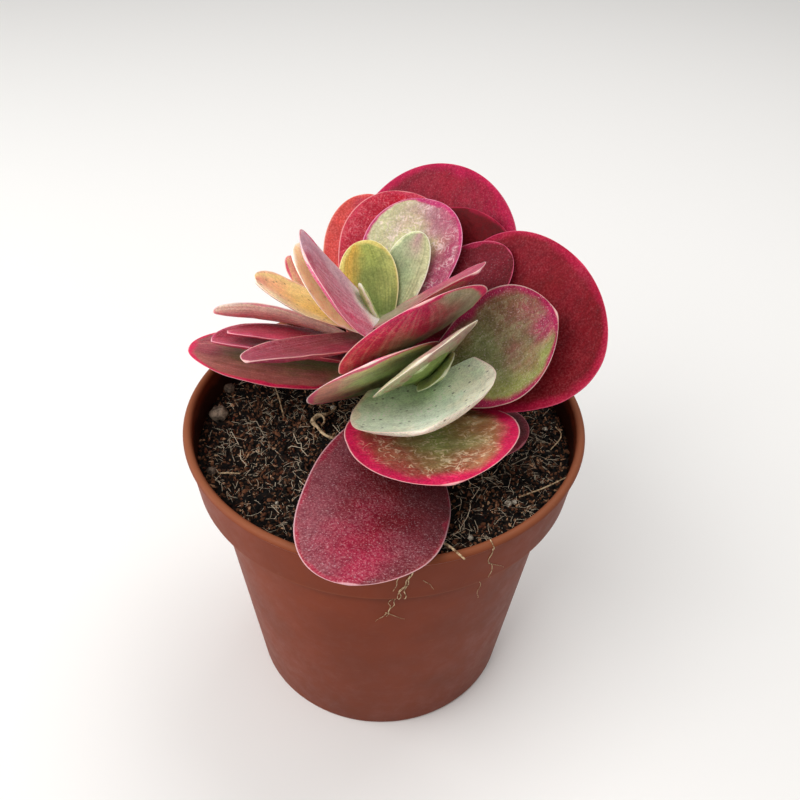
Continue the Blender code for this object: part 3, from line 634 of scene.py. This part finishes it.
def make_peat(settings):
    """The soil body, its top fine enough for lumps and crumbs."""
    finish = organic("peat_mix", settings.peat_dark, settings.peat_light, 1.6 * MM)
    edge = edge_of_soil()
    top = [(edge * i / SOIL_RINGS, SOIL_LEVEL) for i in range(SOIL_RINGS + 1)]
    body = applied(turned("peat_body", top + inner_profile(GAP)[1:], SOIL_SIDES, finish))
    values = {"Level": SOIL_LEVEL, "Edge": edge, "Lump": 3.6 * MM, "Crumb": 4.2 * MM,
              "Seed": float(settings.seed), "Material": finish}
    peat = grown("peat_top", peat_tree(), values, body.data)
    bpy.data.objects.remove(body)
    smooth(peat)
    hand_over(peat, "peat", "soil")


def soil_top(add, level):
    """Whether a point lies on the lumpy top, and its place as x, y and z."""
    place = add(SPLIT, (add(PLACE),))
    return add(MATHS, (place.outputs["Z"], add(MINUS, (level, SOIL_DIP))), operation="GREATER_THAN"), place


def strewn(add, given, chosen, shape, turn, size):
    """Copies of a shape over the chosen faces, each turned and sized by its own draw, with its own shade."""
    seed = given["Seed"]
    points = add("GeometryNodeDistributePointsOnFaces",
                 {"Mesh": given["Geometry"], "Selection": chosen, "Density": given["Density"], "Seed": seed})
    copies = add("GeometryNodeInstanceOnPoints",
                 {"Points": points, "Instance": shape, "Rotation": turn, "Scale": size})
    shade = add(RANDOM, {2: 0.0, 3: 1.0, "Seed": seed}, data_type="FLOAT")
    shaded = add(STORE, {"Geometry": copies, "Name": "shade", "Value": shade}, data_type="FLOAT",
                 domain="INSTANCE")
    return add(REAL, (shaded,))


def pushed(add, shape, grain, middle, far):
    """The shape with its points pushed up to half of far each way, by noise of this grain."""
    wobble = add(NOISE, {"Scale": 1 / grain, "Detail": 1.0})
    push = add(SCALED, {0: add(VECTOR_MINUS, (wobble.outputs["Color"], middle)), "Scale": far})
    return add(SET_PLACE, {"Geometry": shape, "Offset": push})


def scatter_tree(name):
    """Crumbs scattered over the soil's top: small rough lumps of unlike size, each with its own shade."""
    tree, add, given = new_tree(name, "Level Density", Smallest="Vector", Largest="Vector", Seed="Int",
                                Material="Material")
    on_top, _ = soil_top(add, given["Level"])
    crumb = add("GeometryNodeMeshIcoSphere", {"Radius": 1.0, "Subdivisions": 1})
    turn = add(RANDOM, {"Min": (0, 0, 0), "Max": (math.tau,) * 3, "Seed": given["Seed"]},
               data_type="FLOAT_VECTOR")
    size = add(RANDOM, {"Min": given["Smallest"], "Max": given["Largest"], "Seed": given["Seed"]},
               data_type="FLOAT_VECTOR")
    crumbs = strewn(add, given, on_top, crumb, turn, size)
    # Chips the lumps, so that no two are alike.
    chipped = pushed(add, crumbs, CRUMB_CHIP, (0.5, 0.5, 0.5), CRUMB_CHIP)
    return close_tree(tree, chipped, given["Material"])


def fibre_tree():
    """Root hairs and coir strands: short threads laid on the soil's top, each bent its own way."""
    tree, add, given = new_tree("peat_fibres", "Level Edge Density Length Bend Radius", Seed="Int",
                                Material="Material")
    on_top, place = soil_top(add, given["Level"])
    # A thread keeps its own half length clear of the wall.
    away = add(VECTOR, (add(JOIN, {"X": place.outputs["X"], "Y": place.outputs["Y"]}),), operation="LENGTH")
    reach = add(TIMES_PLUS, (given["Length"], -0.5, given["Edge"]))
    inside = add(MATHS, (away.outputs["Value"], reach), operation="LESS_THAN")
    chosen = add(TIMES, (on_top, inside))
    thread = add("GeometryNodeCurvePrimitiveLine", {"Start": (-0.5, 0, 0), "End": (0.5, 0, 0)})
    fine = add("GeometryNodeResampleCurve", {"Curve": thread, "Count": 6})
    turn = add(RANDOM, {"Min": (-0.25, -0.3, 0), "Max": (0.25, 0.3, math.tau), "Seed": given["Seed"]},
               data_type="FLOAT_VECTOR")
    share = add(RANDOM, {2: 0.35, 3: 1.0, "Seed": given["Seed"]}, data_type="FLOAT")
    threads = strewn(add, given, chosen, fine, turn, add(TIMES, (share, given["Length"])))
    # The middle is lower than half along Z, so that threads rise a little more than they sink.
    swayed = pushed(add, threads, THREAD_SWAY, (0.5, 0.5, 0.42), given["Bend"])
    ring = add("GeometryNodeCurvePrimitiveCircle", {"Resolution": 4, "Radius": given["Radius"]})
    round_thread = add("GeometryNodeCurveToMesh", {"Curve": swayed, "Profile Curve": ring, "Fill Caps": True})
    return close_tree(tree, round_thread, given["Material"])


def peat_surface():
    """The finished soil top, which everything on it is scattered over."""
    return bpy.data.objects["peat_top"].data


def make_crumbs(settings):
    """Crumbs of peat, and lighter chips of bark and coir among them."""
    crumb = organic("peat_crumb", settings.peat_dark, settings.peat_light, 1.2 * MM, (0.72, 1.15))
    chip = organic("bark_and_coir_chip", linear("4E2010"), linear("CCA07A"), 1.5 * MM, (0.62, 1.08))
    # Pieces on a square metre, the least and the most half sizes in millimetres, and the seed's step.
    layers = (("peat_crumbs", crumb, 800000, (0.3, 0.25, 0.2), (1.0, 0.75, 0.6), 3),
              ("bark_chips", chip, 150000, (0.3, 0.15, 0.12), (1.5, 0.45, 0.35), 11))
    for name, finish, density, smallest, largest, seed in layers:
        values = {"Level": SOIL_LEVEL, "Density": float(density) * settings.litter,
                  "Smallest": [v * MM for v in smallest], "Largest": [v * MM for v in largest],
                  "Seed": settings.seed + seed, "Material": finish}
        hand_over(grown(name, scatter_tree(name), values, peat_surface()), "peat")


def make_fibres(settings):
    """Fine root hairs and longer coir strands."""
    pale = organic("dry_root_fibre", linear("382618"), linear("F4E2C4"), 2 * MM, (0.5, 1.02), 0.8)
    tree = fibre_tree()
    # Threads on a square metre, the length, bend and radius in millimetres, and the seed's step.
    for name, density, length, bend, radius, seed in (("root_hairs", 340000, 3.6, 3.5, 0.055, 5),
                                                      ("coir_strands", 8000, 15, 11, 0.1, 8)):
        values = {"Level": SOIL_LEVEL, "Edge": edge_of_soil() - MM,
                  "Density": float(density) * settings.litter, "Length": length * MM, "Bend": bend * MM,
                  "Radius": radius * MM, "Seed": settings.seed + seed, "Material": pale}
        hand_over(grown(name, tree, values, peat_surface()), "peat")


# Pebbles and perlite: (x, y, height over the level, radius) in millimetres.
PEBBLES = ((-52, 7.5, 1.4, 2.9), (-50.8, 21, 1.0, 1.9), (-50.2, -18, 0.8, 1.5))
PERLITE = ((50, 4, 0.8, 0.8), (35.5, -29, 1.0, 1.0), (37.3, -28, 0.7, 0.7), (-13, 18, 1.2, 1.3),
           (-16.5, 12, 0.9, 0.9), (24, -42, 0.7, 0.8), (40, 12, 0.6, 0.6), (-30, -30, 0.5, 0.5))
STONE_FLATNESS = 0.8      # a stone's height, as a share of its width


def make_stones(settings):
    """River pebbles and popped perlite: each a ball roughened by noise, of its own shape."""
    pebble = organic("river_pebble", linear("3A2E26"), linear("A08C78"), 2.5 * MM, (0.36, 0.66), 0.7)
    perlite = organic("popped_perlite", linear("6E6252"), linear("E8DFCC"), 1.2 * MM, (0.4, 0.6))
    for name, places, finish, rough in (("pebbles", PEBBLES, pebble, 0.22),
                                        ("perlite", PERLITE, perlite, 0.5)):
        pieces = []
        for x, y, height, radius in places:
            bpy.ops.mesh.primitive_ico_sphere_add(subdivisions=4, radius=radius * MM)
            ball = bpy.context.object
            # Broad swells, and dents a third as deep.
            for vertex in ball.data.vertices:
                way = vertex.co.normalized()
                swell = noise.noise(way * 1.6 + Vector((x, y, settings.seed)))
                vertex.co *= 1 + rough * swell + 0.3 * rough * noise.noise(way * 6 + Vector((x, y, 0)))
                vertex.co.z *= STONE_FLATNESS
                vertex.co += Vector((x * MM, y * MM, SOIL_LEVEL + height * MM))
            ball.data.materials.append(finish)
            ball.data.shade_smooth()
            pieces.append(ball)
        with bpy.context.temp_override(active_object=pieces[0], selected_editable_objects=pieces):
            bpy.ops.object.join()
        pieces[0].name = name
        hand_over(pieces[0], "peat")


# Dry roots and straw that lie where they fell, as (x, y, z, radius) in millimetres.
DRY_ROOTS = {
    "root_curl": (
        ((-15.6, 10, 92.8, .3), (-17.6, 6.6, 93.2, .45), (-21.2, 4.6, 93.4, .7), (-22.2, 2.6, 93.2, .8),
         (-20.6, 0.2, 93, .5), (-18, -3.4, 93, .45), (-15, -4.4, 92.8, .4), (-13.4, -2, 92.6, .3)),
        ((-22.4, 3.2, 93.4, .5), (-20.4, 4.8, 94.2, .4), (-18.6, 2.8, 93.6, .35), (-19.4, 0.6, 93.2, .3)),
    ),
    "straw": (((15.2, -48.5, 95.8, .3), (17, -53, 99.6, .33), (20.6, -59.4, 101.9, .25)),),
    "loose_fibres": (
        ((-36, 21, 92, .2), (-33.6, 13, 93, .22), (-31.6, 6, 92, .18)),
        ((-47.7, -20.5, 92.4, .2), (-44.5, -20.9, 93, .24), (-41.5, -20.2, 92.2, .2)),
        ((38.4, -28.3, 93, .2), (46, -25.8, 94.6, .22), (53.2, -20.6, 94, .18)),
        ((50, -8, 93, .16), (53.4, -4, 95, .2), (52.6, 1.5, 94, .16)),
    ),
}


# Root strands that have dried onto the outside of the wall. Each has the degrees round the pot and
# the height in millimetres of its top and of its foot, and its thickness in millimetres.
WALL_STRANDS = (
    (-81, 101, -88, 68, 0.4),
    (-83, 94, -88, 70, 0.3),
    (-85, 96, -87, 87, 0.25),
    (-84, 89, -89, 78, 0.2),
    (-88, 70, -92, 65, 0.2),
    (-88, 70, -82, 66, 0.2),
    (-79, 91, -76, 86, 0.15),
    (-62, 101, -59, 83, 0.3),
    (-59, 83, -57, 66, 0.2),
    (-61, 91, -55, 85, 0.15),
)
STRAND_STEP = 1.2         # millimetres between points
STRAND_BEND = 3           # millimetres from one bend to the next
STRAND_WANDER = 1.5       # degrees that a strand may stray to either side


def wall_radius(height):
    """How far the outside of the lip, the collar or the body stands from the axis at a height."""
    bead = LIP_BEAD / 2
    if height > POT_HEIGHT - bead:
        rise = min(height, POT_HEIGHT) - (POT_HEIGHT - bead)
        return RIM_RADIUS - bead + math.sqrt(max(bead ** 2 - rise ** 2, 0))
    if height > POT_HEIGHT - LIP_BEAD:
        return RIM_RADIUS
    wall = outer_profile()
    above, below = next(pair for pair in zip(wall, wall[1:]) if pair[1][1] <= height)
    share = (above[1] - height) / (above[1] - below[1])
    return above[0] + (below[0] - above[0]) * share


def wall_strand(number, strand):
    """One strand's route down the lip and the wall, as (x, y, z, radius) in millimetres."""
    top_turn, top, foot_turn, foot, thick = strand
    steps = math.ceil((top - foot) / STRAND_STEP)
    points = []
    for step in range(steps + 1):
        share = step / steps
        height = top + (foot - top) * share
        stray = STRAND_WANDER * noise.noise(Vector((number + 0.5, height / STRAND_BEND, 0.5)))
        turn = math.radians(top_turn + (foot_turn - top_turn) * share + stray)
        radius = thick * (0.5 - 0.3 * share)
        reach = wall_radius(height * MM) / MM + radius
        points.append((reach * math.cos(turn), reach * math.sin(turn), height, radius))
    return points


def make_dry_roots(settings):
    """The curl of dry root, the straw over the rim, the strands on the wall and a few loose fibres."""
    root = organic("dry_root", linear("6E4A2C"), linear("DCC29A"), 1.5 * MM, (0.36, 0.6), 0.75)
    strands = [wall_strand(number, strand) for number, strand in enumerate(WALL_STRANDS)]
    for name, routes in {**DRY_ROOTS, "hanging_roots": strands}.items():
        hand_over(tube(name, routes, root), "peat")


# ---------------------------------------------------------------- stems and leaves

def green_stem(colour):
    """A young succulent stem: green, matt and a little fleshy."""
    made, add, shader = new_material("succulent_stem", 0.55, 0.35)
    place = add("ShaderNodeTexCoord").outputs["Object"]
    tone = add(NOISE, {"Vector": place, "Scale": 1 / (3 * MM), "Detail": 4.0})
    mask = add(RANGE, (tone, 0.35, 0.7))
    plug(shader, {"Base Color": add(MIX, {0: mask, 6: colour, 7: linear("9A8A62")}),
                  "Normal": add(BUMP, {"Height": tone, "Distance": 0.3 * MM})})
    return made


def make_stems(settings):
    """A stem for each head, along the solids' own route."""
    finish = green_stem(settings.stem_colour)
    for head, route in HEAD_ROUTES.items():
        foot = (route[0][0], route[0][1], route[0][2] - BURIED)
        radii = (STEM_RADIUS / MM,) * 3 + (STEM_TIP_RADIUS / MM,)
        places = [(*place, radius) for place, radius in zip((foot, *route), radii)]
        hand_over(tube(f"{head}_shoot", [places], finish, 6), "stem_skin", f"{head}_stem")


LEAF_SIDES = 48
LEAF_RINGS = 64
# The solids' fewer rings cut their tips a hair short, and so do these.
DRAWN_LENGTH = 0.996
# A blade that doesn't curl still needs an arc to be carried along, so it gets a hair of one, in degrees.
LEAST_CURL = 0.1
LEAST_FOOT = 0.001        # keeps a blade with a stalk from dividing by nought
SEED_STEP = 3.7           # from one blade's noise to the next
LEAF_ROOT_SWELL = 1.15    # the thickness at the foot, as a share of a full blade's
LEAF_TAPER = 0.4          # how much of that share is gone at the tip
CM_PER_M = 100.0


def leaf_tree():
    """A paddle leaf: a ball drawn out into a blade, widest past its middle, cupped, bent and twisted."""
    tree, add, given = new_tree(
        "paddle_leaf", "Length Width Thickness Curl Cup Twist Widest Base Tip Foot Waver Ripple Seed",
        Sides="Int", Rings="Int", Rotation="Vector", Place="Vector", Skin="Material")
    ball = add("GeometryNodeMeshUVSphere", {"Segments": given["Sides"], "Rings": given["Rings"],
                                            "Radius": 1.0})
    place = add(PLACE)
    u = add(TIMES_PLUS, (add(SPLIT, (place,)).outputs["Z"], 0.5, 0.5), use_clamp=True)
    flat = add(VECTOR, (place, (1, 1, 0)), operation="MULTIPLY")
    side = add(SPLIT, (add(VECTOR, (flat,), operation="NORMALIZE"),))
    v, lift = side.outputs["X"], side.outputs["Y"]

    # Share of the full width: it swells as a sine to its widest, and then rounds off to the tip.
    swell = add(MATHS, (add(RANGE, (u, 0, given["Widest"], 0, math.pi / 2)),), operation="SINE")
    swell = add(RANGE, {0: swell, 3: given["Base"], 4: 1.0})
    past = add(MATHS, (add(RANGE, (u, given["Widest"], 1.0)), given["Tip"]), operation="POWER")
    round_off = add(MATHS, (add(MINUS, (1.0, past), use_clamp=True),), operation="SQRT")
    share = add(TIMES, (swell, round_off))
    # A blade with no stalk to speak of has a round foot too.
    short = add(RANGE, (u, 0.0, given["Foot"], 1.0, 0.0))
    short = add(TIMES, (short, short))
    short = add(MATHS, (add(MINUS, (1.0, short)),), operation="SQRT")
    share = add(TIMES, (share, short))

    # The outline wavers inwards, and the blade ripples, by a fraction of a millimetre.
    spot = add(JOIN, {"X": add(TIMES, (u, 4.0)), "Y": add(TIMES, (v, 1.6)), "Z": given["Seed"]})
    uneven = add(NOISE, {"Vector": spot, "Scale": 1.0, "Detail": 2.0})
    trim = add(TIMES, (uneven, given["Waver"]))
    half = add(TIMES, (given["Width"], 0.5))
    half = add(TIMES, (half, share))
    half = add(TIMES, (half, add(MINUS, (1.0, trim))))
    sideways = add(TIMES, (half, v))

    # Thickness tapers along the blade and towards both ends, and the margins are thin.
    taper = add(TIMES_PLUS, (u, -LEAF_TAPER, LEAF_ROOT_SWELL))
    thick = add(TIMES, (add(MATHS, (share,), operation="SQRT"), taper))
    thick = add(TIMES, (thick, given["Thickness"]))
    thick = add(TIMES, (add(TIMES, (thick, 0.5)), lift))
    thin = add(MATHS, (add(MATHS, (lift,), operation="ABSOLUTE"), 0.5), operation="POWER")
    thick = add(TIMES, (thick, thin))
    bowl = add(TIMES, (add(TIMES, (sideways, v)), given["Cup"]))
    wave = add(TIMES, (add(MINUS, (uneven, 0.5)), add(TIMES, (given["Ripple"], share))))
    height = add(PLUS, (add(PLUS, (thick, bowl)), wave))

    # Twists the cross-section, bends it up and carries it along the bent midrib.
    section = add(JOIN, {"Y": sideways, "Z": height})
    twisted = add("ShaderNodeVectorRotate", {"Vector": section, "Angle": add(TIMES, (given["Twist"], u))},
                  rotation_type="X_AXIS")
    turn = add(TIMES, (given["Curl"], u))
    bent = add("ShaderNodeVectorRotate", {"Vector": twisted, "Angle": add(TIMES, (turn, -1.0))},
               rotation_type="Y_AXIS")
    radius = add(MATHS, (given["Length"], given["Curl"]), operation="DIVIDE")
    reach = add(TIMES, (radius, add(MATHS, (turn,), operation="SINE")))
    drop = add(MINUS, (1.0, add(MATHS, (turn,), operation="COSINE")))
    midrib = add(JOIN, {"X": reach, "Z": add(TIMES, (radius, drop))})
    drawn = add(SET_PLACE, {"Geometry": ball, "Position": add(VECTOR, (midrib, bent), operation="ADD")})

    # What the skin reads: along, across, and centimetres in from the outline.
    inwards = add(TIMES, (half, add(MINUS, (1.0, add(MATHS, (v,), operation="ABSOLUTE")))))
    from_tip = add(TIMES, (add(MINUS, (1.0, u)), given["Length"]))
    rim = add(MATHS, (inwards, from_tip), operation="MINIMUM")
    blade = add(JOIN, {"X": u, "Y": v, "Z": add(TIMES, (rim, CM_PER_M))})
    marked = add("GeometryNodeCaptureAttribute", {"Geometry": ball})
    marked.capture_items.new("VECTOR", "blade")
    plug(marked, {1: blade})
    plug(drawn, {"Geometry": marked})
    stored = add(STORE, {"Geometry": drawn, "Name": "blade", "Value": marked.outputs[1]},
                 data_type="FLOAT_VECTOR", domain="POINT")
    soft = add("GeometryNodeSetShadeSmooth", {"Geometry": stored})
    placed = add("GeometryNodeTransform", {"Geometry": soft, "Rotation": given["Rotation"],
                                           "Translation": given["Place"]})
    return close_tree(tree, placed, given["Skin"])


def on_stem(head, rise):
    """The point on a head's stem that lies rise millimetres along its route."""
    route = [Vector(place) for place in HEAD_ROUTES[head]]
    for foot, top in zip(route, route[1:]):
        length = (top - foot).length
        if rise <= length:
            return foot.lerp(top, rise / length) * MM
        rise -= length
    return route[-1] * MM


def make_leaves(settings):
    """Every paddle in its own place and skin."""
    tree = leaf_tree()
    skins = {name: leaf_skin(name, skin, settings.wax_colour) for name, skin in SKINS.items()}
    for number, leaf in enumerate(LEAVES):
        values = {
            "Length": leaf.length * MM * DRAWN_LENGTH, "Width": leaf.width * MM,
            "Thickness": settings.thickness, "Curl": math.radians(leaf.curl or LEAST_CURL),
            "Cup": leaf.cup, "Twist": math.radians(leaf.twist), "Widest": leaf.widest, "Base": leaf.base,
            "Tip": float(leaf.tip), "Foot": max(leaf.foot, LEAST_FOOT), "Waver": settings.waver,
            "Ripple": settings.ripple, "Seed": number * SEED_STEP, "Sides": LEAF_SIDES,
            "Rings": LEAF_RINGS, "Skin": skins[leaf.skin],
            "Rotation": [math.radians(angle) for angle in (leaf.roll, -leaf.rise, leaf.heading)],
            "Place": list(on_stem(leaf.head, leaf.at)),
        }
        blade = grown(leaf.name.replace("leaf", "paddle"), tree, values)
        hand_over(blade, f"leaf_{leaf.colour}", leaf.name)


# ---------------------------------------------------------------- stage

# The camera's place is in millimetres and its turn in degrees. The floor and the lights are in metres.
CAMERA_PLACE = (0, -209.3, 273.2)
CAMERA_TURN = (51.12, -1.55, 0.055)
LENS_MM = 40.5
SENSOR_MM = 36
FLOOR_WIDTH = 6
LIT_POINT = Vector((0, 0, 0.1))


def make_stage(settings):
    """A pale floor, soft studio light, and the camera that looks down on the plant."""
    scene = bpy.context.scene
    bpy.ops.mesh.primitive_plane_add(size=FLOOR_WIDTH, location=(0, 0, 0))
    floor = bpy.context.object
    floor.name = "studio_floor"
    paper, _, shader = new_material("matt_backdrop_paper", 0.9, 0.2)
    plug(shader, {"Base Color": settings.floor_colour})
    floor.data.materials.append(paper)
    world = bpy.data.worlds.new("soft_sky")
    world.use_nodes = True
    plug(world.node_tree.nodes["Background"], {"Color": (1, 1, 1, 1), "Strength": settings.sky})
    scene.world = world
    for name, place, size, power in (("key", (-0.55, -0.5, 0.95), 0.8, settings.key),
                                     ("top", (0.25, 0.35, 1.0), 0.7, settings.top),
                                     ("side", (-1.0, 0.05, 0.3), 0.6, settings.side)):
        lamp = bpy.data.lights.new(name, "AREA")
        lamp.energy = power
        lamp.size = size
        light = bpy.data.objects.new(name, lamp)
        light.location = place
        light.rotation_euler = (LIT_POINT - Vector(place)).to_track_quat("-Z", "Y").to_euler()
        scene.collection.objects.link(light)
    lens = bpy.data.cameras.new("camera")
    lens.lens = LENS_MM
    lens.sensor_width = SENSOR_MM
    lens.clip_start = MM
    camera = bpy.data.objects.new("camera", lens)
    camera.location = Vector(CAMERA_PLACE) * MM
    camera.rotation_euler = Euler([math.radians(angle) for angle in CAMERA_TURN])
    scene.collection.objects.link(camera)
    scene.camera = camera
    scene.view_settings.view_transform = "Standard"


# ---------------------------------------------------------------- settings, operators and panel

# The kinds of setting that come up more than once.
colour_setting = partial(bpy.props.FloatVectorProperty, subtype="COLOR", size=4, min=0, max=1)
distance_setting = partial(bpy.props.FloatProperty, subtype="DISTANCE", unit="LENGTH")
power_setting = partial(bpy.props.FloatProperty, min=0, unit="POWER")


class PADDLE_PG_pot(bpy.types.PropertyGroup):
    """The nursery pot's sizes and colours"""
    sides: bpy.props.IntProperty(
        name="Sides", description="Faces round the pot", default=192, min=24, max=256)
    body_colour: colour_setting(
        name="Plastic", description="Colour of the moulded plastic", default=linear("74311A"))
    dust_and_highlight_colour: colour_setting(
        name="Dust", description="Colour of the dust and scuffs", default=linear("AC7250"))


class PADDLE_PG_peat(bpy.types.PropertyGroup):
    """The potting mix"""
    seed: bpy.props.IntProperty(name="Seed", description="Draw of lumps, crumbs and fibres", default=4)
    litter: bpy.props.FloatProperty(
        name="Litter", description="How thickly the crumbs and fibres lie", default=1, min=0.1, max=1)
    peat_dark: colour_setting(name="Damp peat", description="Darkest peat", default=linear("060403"))
    peat_light: colour_setting(name="Dry peat", description="Lightest peat", default=linear("7E5238"))


class PADDLE_PG_leaf(bpy.types.PropertyGroup):
    """What all the leaves share"""
    thickness: distance_setting(name="Thickness", description="Thickness of a full blade", default=2.4 * MM)
    waver: bpy.props.FloatProperty(
        name="Waver", description="How far an outline wavers inwards, as a share of its width",
        default=0.03, min=0, max=0.2)
    ripple: distance_setting(name="Ripple", description="How far a blade ripples", default=1.2 * MM)
    wax_colour: colour_setting(
        name="Bloom", description="Colour of the powdery bloom", default=linear("D4B6B6"))
    stem_colour: colour_setting(
        name="Stem", description="Colour of the young stems", default=linear("7E8A4E"))


class PADDLE_PG_stage(bpy.types.PropertyGroup):
    """Floor and light"""
    floor_colour: colour_setting(name="Floor", description="Colour of the floor", default=linear("F4F2EF"))
    sky: bpy.props.FloatProperty(name="Sky", description="Strength of the even light", default=0.42, min=0)
    key: power_setting(name="Key", description="Power of the key light", default=8)
    top: power_setting(name="Top", description="Power of the light over and behind", default=4)
    side: power_setting(name="Side", description="Power of the low light on the left", default=4)


class PADDLE_OT_pot(bpy.types.Operator):
    """Turns the moulded nursery pot with its drain holes"""
    bl_idname = "paddle.pot"
    bl_label = "Nursery pot"

    def execute(self, context):
        make_pot(context.scene.paddle_pot)
        return {"FINISHED"}


class PADDLE_OT_peat(bpy.types.Operator):
    """Fills the pot with lumpy peat"""
    bl_idname = "paddle.peat"
    bl_label = "Peat"

    def execute(self, context):
        make_peat(context.scene.paddle_peat)
        return {"FINISHED"}


class PADDLE_OT_crumbs(bpy.types.Operator):
    """Scatters peat crumbs and bark chips over the peat"""
    bl_idname = "paddle.crumbs"
    bl_label = "Crumbs and chips"

    def execute(self, context):
        make_crumbs(context.scene.paddle_peat)
        return {"FINISHED"}


class PADDLE_OT_fibres(bpy.types.Operator):
    """Lays root hairs and coir strands over the peat"""
    bl_idname = "paddle.fibres"
    bl_label = "Fibres"

    def execute(self, context):
        make_fibres(context.scene.paddle_peat)
        return {"FINISHED"}


class PADDLE_OT_stones(bpy.types.Operator):
    """Drops the pebbles and perlite"""
    bl_idname = "paddle.stones"
    bl_label = "Pebbles and perlite"

    def execute(self, context):
        make_stones(context.scene.paddle_peat)
        return {"FINISHED"}


class PADDLE_OT_dry_roots(bpy.types.Operator):
    """Lays the dry root, the straw and the strands on the wall"""
    bl_idname = "paddle.dry_roots"
    bl_label = "Dry roots and straw"

    def execute(self, context):
        make_dry_roots(context.scene.paddle_peat)
        return {"FINISHED"}


class PADDLE_OT_stems(bpy.types.Operator):
    """Raises the two stems"""
    bl_idname = "paddle.stems"
    bl_label = "Stems"

    def execute(self, context):
        make_stems(context.scene.paddle_leaf)
        return {"FINISHED"}


class PADDLE_OT_leaves(bpy.types.Operator):
    """Grows every paddle leaf on its stem"""
    bl_idname = "paddle.leaves"
    bl_label = "Leaves"

    def execute(self, context):
        make_leaves(context.scene.paddle_leaf)
        return {"FINISHED"}


class PADDLE_OT_stage(bpy.types.Operator):
    """Sets the floor, the light and the camera"""
    bl_idname = "paddle.stage"
    bl_label = "Stage"

    def execute(self, context):
        make_stage(context.scene.paddle_stage)
        return {"FINISHED"}


OPERATORS = (PADDLE_OT_pot, PADDLE_OT_peat, PADDLE_OT_crumbs, PADDLE_OT_fibres, PADDLE_OT_stones,
             PADDLE_OT_dry_roots, PADDLE_OT_stems, PADDLE_OT_leaves, PADDLE_OT_stage)
SETTINGS = {"paddle_pot": PADDLE_PG_pot, "paddle_peat": PADDLE_PG_peat, "paddle_leaf": PADDLE_PG_leaf,
            "paddle_stage": PADDLE_PG_stage}


class PADDLE_PT_panel(bpy.types.Panel):
    """Lists the plant's settings and the pieces it is grown from"""
    bl_idname = "PADDLE_PT_panel"
    bl_label = "Paddle plant"
    bl_space_type = "VIEW_3D"
    bl_region_type = "UI"
    bl_category = "Paddle plant"

    def draw(self, context):
        for name, group in SETTINGS.items():
            box = self.layout.box()
            box.label(text=group.__doc__)
            for setting in group.__annotations__:
                box.prop(getattr(context.scene, name), setting)
        for operator in OPERATORS:
            self.layout.operator(operator.bl_idname)


def register():
    for group in (*SETTINGS.values(), *OPERATORS, PADDLE_PT_panel):
        bpy.utils.register_class(group)
    for name, group in SETTINGS.items():
        setattr(bpy.types.Scene, name, bpy.props.PointerProperty(type=group))


def unregister():
    for name in SETTINGS:
        delattr(bpy.types.Scene, name)
    for group in reversed((*SETTINGS.values(), *OPERATORS, PADDLE_PT_panel)):
        bpy.utils.unregister_class(group)


def main():
    """Grows the whole plant."""
    register()
    bpy.ops.paddle.stage()
    bpy.ops.paddle.pot()
    bpy.ops.paddle.peat()
    bpy.ops.paddle.crumbs()
    bpy.ops.paddle.fibres()
    bpy.ops.paddle.stones()
    bpy.ops.paddle.dry_roots()
    bpy.ops.paddle.stems()
    bpy.ops.paddle.leaves()


if __name__ == "__main__":
    main()
